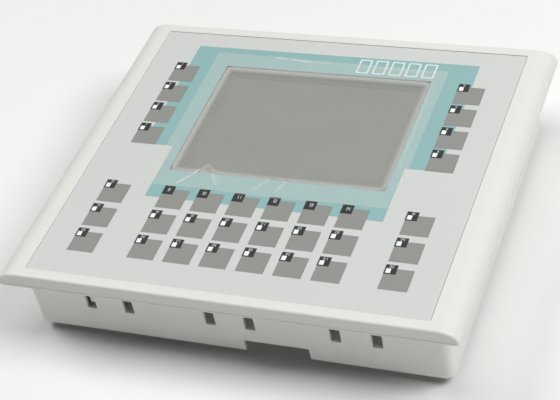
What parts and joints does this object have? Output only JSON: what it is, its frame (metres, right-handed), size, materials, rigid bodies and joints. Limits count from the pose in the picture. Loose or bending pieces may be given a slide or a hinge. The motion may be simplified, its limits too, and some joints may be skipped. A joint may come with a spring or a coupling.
{
  "type": "operator panel",
  "caption": "Panel-mount operator panel with a touch display, membrane keys with status lights, a rolled front bezel and a rear housing with clamp slots and sockets.",
  "frame": {"origin": "under the middle of the panel, on the face of the rear cover that it rests on", "axes": "+Z is the normal of the operating face, +X the panel's width to the right, +Y towards its top edge"},
  "size_m": [0.243, 0.212, 0.0484],
  "materials": {
    "bezel_plastic": "fine moulded grain, warm light grey",
    "gasket_rubber": "closed-cell black sealing strip",
    "printed_foil": "polyester film, fine matt texture, light grey with a teal field",
    "tag_print": null,
    "led_lens": "translucent white",
    "clear_film": "thin clear protective film, slightly wrinkled",
    "touch_glass": "hard-coated resistive touch surface",
    "spacer_foam": "grey foam spacer",
    "lcd_cell": "switched-off grey liquid crystal cell",
    "tinned_steel": "tin-plated sheet",
    "diffuser_plastic": "white moulded tray",
    "lamp_glass": "phosphor-coated tube",
    "circuit_board": "green solder resist",
    "spring_steel": "stamped snap dome",
    "zinc_steel": "galvanised sheet",
    "ribbon": "flat conductor cable",
    "terminal_green": "moulded terminal block",
    "nickel_shell": "nickel-plated shell",
    "housing_plastic": "fine moulded grain, light grey",
    "screw_steel": "zinc-plated screw",
    "key_print": "grey printed key field on the foil",
    "brass_screw": "earth terminal screw"
  },
  "bodies": {
    "panel": {"front_bezel": "bezel_plastic", "mounting_gasket": "gasket_rubber", "overlay_foil": "printed_foil", "key_tags": "tag_print", "status_leds": "led_lens", "protective_film": "clear_film", "touch_glass": "touch_glass", "display_spacer": "spacer_foam", "lcd_panel": "lcd_cell", "lcd_frame": "tinned_steel", "backlight_tray": "diffuser_plastic", "backlight_lamp": "lamp_glass", "key_board": "circuit_board", "key_domes": "spring_steel", "carrier_plate": "zinc_steel", "main_board": "circuit_board", "inverter_board": "circuit_board", "flat_cables": "ribbon", "power_terminal": "terminal_green", "serial_port": "nickel_shell", "usb_port": "nickel_shell", "ethernet_port": "nickel_shell", "card_slot": "nickel_shell", "rear_housing": "housing_plastic", "rear_cover": "housing_plastic", "housing_screws": "screw_steel", "short_screws": "screw_steel", "earth_screw": "brass_screw"},
    "key_f1": {"key_f1": "key_print"},
    "key_f2": {"key_f2": "key_print"},
    "key_f3": {"key_f3": "key_print"},
    "key_f4": {"key_f4": "key_print"},
    "key_f5": {"key_f5": "key_print"},
    "key_f6": {"key_f6": "key_print"},
    "key_f7": {"key_f7": "key_print"},
    "key_f8": {"key_f8": "key_print"},
    "key_k1": {"key_k1": "key_print"},
    "key_f9": {"key_f9": "key_print"},
    "key_f10": {"key_f10": "key_print"},
    "key_f11": {"key_f11": "key_print"},
    "key_f12": {"key_f12": "key_print"},
    "key_f13": {"key_f13": "key_print"},
    "key_f14": {"key_f14": "key_print"},
    "key_k2": {"key_k2": "key_print"},
    "key_k3": {"key_k3": "key_print"},
    "key_k4": {"key_k4": "key_print"},
    "key_k5": {"key_k5": "key_print"},
    "key_k6": {"key_k6": "key_print"},
    "key_k7": {"key_k7": "key_print"},
    "key_k8": {"key_k8": "key_print"},
    "key_k9": {"key_k9": "key_print"},
    "key_k10": {"key_k10": "key_print"},
    "key_k11": {"key_k11": "key_print"},
    "key_k12": {"key_k12": "key_print"},
    "key_k13": {"key_k13": "key_print"},
    "key_k14": {"key_k14": "key_print"},
    "key_k15": {"key_k15": "key_print"},
    "key_k16": {"key_k16": "key_print"},
    "key_k17": {"key_k17": "key_print"},
    "key_k18": {"key_k18": "key_print"}
  },
  "joints": [
    {"name": "key_f1_press", "type": "slide", "parent": "panel", "child": "key_f1", "axis": [0, 0, -1], "range_m": [0, 0.0004], "stiffness_N_per_m": 800},
    {"name": "key_f2_press", "type": "slide", "parent": "panel", "child": "key_f2", "axis": [0, 0, -1], "range_m": [0, 0.0004], "stiffness_N_per_m": 800},
    {"name": "key_f3_press", "type": "slide", "parent": "panel", "child": "key_f3", "axis": [0, 0, -1], "range_m": [0, 0.0004], "stiffness_N_per_m": 800},
    {"name": "key_f4_press", "type": "slide", "parent": "panel", "child": "key_f4", "axis": [0, 0, -1], "range_m": [0, 0.0004], "stiffness_N_per_m": 800},
    {"name": "key_f5_press", "type": "slide", "parent": "panel", "child": "key_f5", "axis": [0, 0, -1], "range_m": [0, 0.0004], "stiffness_N_per_m": 800},
    {"name": "key_f6_press", "type": "slide", "parent": "panel", "child": "key_f6", "axis": [0, 0, -1], "range_m": [0, 0.0004], "stiffness_N_per_m": 800},
    {"name": "key_f7_press", "type": "slide", "parent": "panel", "child": "key_f7", "axis": [0, 0, -1], "range_m": [0, 0.0004], "stiffness_N_per_m": 800},
    {"name": "key_f8_press", "type": "slide", "parent": "panel", "child": "key_f8", "axis": [0, 0, -1], "range_m": [0, 0.0004], "stiffness_N_per_m": 800},
    {"name": "key_k1_press", "type": "slide", "parent": "panel", "child": "key_k1", "axis": [0, 0, -1], "range_m": [0, 0.0004], "stiffness_N_per_m": 800},
    {"name": "key_f9_press", "type": "slide", "parent": "panel", "child": "key_f9", "axis": [0, 0, -1], "range_m": [0, 0.0004], "stiffness_N_per_m": 800},
    {"name": "key_f10_press", "type": "slide", "parent": "panel", "child": "key_f10", "axis": [0, 0, -1], "range_m": [0, 0.0004], "stiffness_N_per_m": 800},
    {"name": "key_f11_press", "type": "slide", "parent": "panel", "child": "key_f11", "axis": [0, 0, -1], "range_m": [0, 0.0004], "stiffness_N_per_m": 800},
    {"name": "key_f12_press", "type": "slide", "parent": "panel", "child": "key_f12", "axis": [0, 0, -1], "range_m": [0, 0.0004], "stiffness_N_per_m": 800},
    {"name": "key_f13_press", "type": "slide", "parent": "panel", "child": "key_f13", "axis": [0, 0, -1], "range_m": [0, 0.0004], "stiffness_N_per_m": 800},
    {"name": "key_f14_press", "type": "slide", "parent": "panel", "child": "key_f14", "axis": [0, 0, -1], "range_m": [0, 0.0004], "stiffness_N_per_m": 800},
    {"name": "key_k2_press", "type": "slide", "parent": "panel", "child": "key_k2", "axis": [0, 0, -1], "range_m": [0, 0.0004], "stiffness_N_per_m": 800},
    {"name": "key_k3_press", "type": "slide", "parent": "panel", "child": "key_k3", "axis": [0, 0, -1], "range_m": [0, 0.0004], "stiffness_N_per_m": 800},
    {"name": "key_k4_press", "type": "slide", "parent": "panel", "child": "key_k4", "axis": [0, 0, -1], "range_m": [0, 0.0004], "stiffness_N_per_m": 800},
    {"name": "key_k5_press", "type": "slide", "parent": "panel", "child": "key_k5", "axis": [0, 0, -1], "range_m": [0, 0.0004], "stiffness_N_per_m": 800},
    {"name": "key_k6_press", "type": "slide", "parent": "panel", "child": "key_k6", "axis": [0, 0, -1], "range_m": [0, 0.0004], "stiffness_N_per_m": 800},
    {"name": "key_k7_press", "type": "slide", "parent": "panel", "child": "key_k7", "axis": [0, 0, -1], "range_m": [0, 0.0004], "stiffness_N_per_m": 800},
    {"name": "key_k8_press", "type": "slide", "parent": "panel", "child": "key_k8", "axis": [0, 0, -1], "range_m": [0, 0.0004], "stiffness_N_per_m": 800},
    {"name": "key_k9_press", "type": "slide", "parent": "panel", "child": "key_k9", "axis": [0, 0, -1], "range_m": [0, 0.0004], "stiffness_N_per_m": 800},
    {"name": "key_k10_press", "type": "slide", "parent": "panel", "child": "key_k10", "axis": [0, 0, -1], "range_m": [0, 0.0004], "stiffness_N_per_m": 800},
    {"name": "key_k11_press", "type": "slide", "parent": "panel", "child": "key_k11", "axis": [0, 0, -1], "range_m": [0, 0.0004], "stiffness_N_per_m": 800},
    {"name": "key_k12_press", "type": "slide", "parent": "panel", "child": "key_k12", "axis": [0, 0, -1], "range_m": [0, 0.0004], "stiffness_N_per_m": 800},
    {"name": "key_k13_press", "type": "slide", "parent": "panel", "child": "key_k13", "axis": [0, 0, -1], "range_m": [0, 0.0004], "stiffness_N_per_m": 800},
    {"name": "key_k14_press", "type": "slide", "parent": "panel", "child": "key_k14", "axis": [0, 0, -1], "range_m": [0, 0.0004], "stiffness_N_per_m": 800},
    {"name": "key_k15_press", "type": "slide", "parent": "panel", "child": "key_k15", "axis": [0, 0, -1], "range_m": [0, 0.0004], "stiffness_N_per_m": 800},
    {"name": "key_k16_press", "type": "slide", "parent": "panel", "child": "key_k16", "axis": [0, 0, -1], "range_m": [0, 0.0004], "stiffness_N_per_m": 800},
    {"name": "key_k17_press", "type": "slide", "parent": "panel", "child": "key_k17", "axis": [0, 0, -1], "range_m": [0, 0.0004], "stiffness_N_per_m": 800},
    {"name": "key_k18_press", "type": "slide", "parent": "panel", "child": "key_k18", "axis": [0, 0, -1], "range_m": [0, 0.0004], "stiffness_N_per_m": 800}
  ]
}
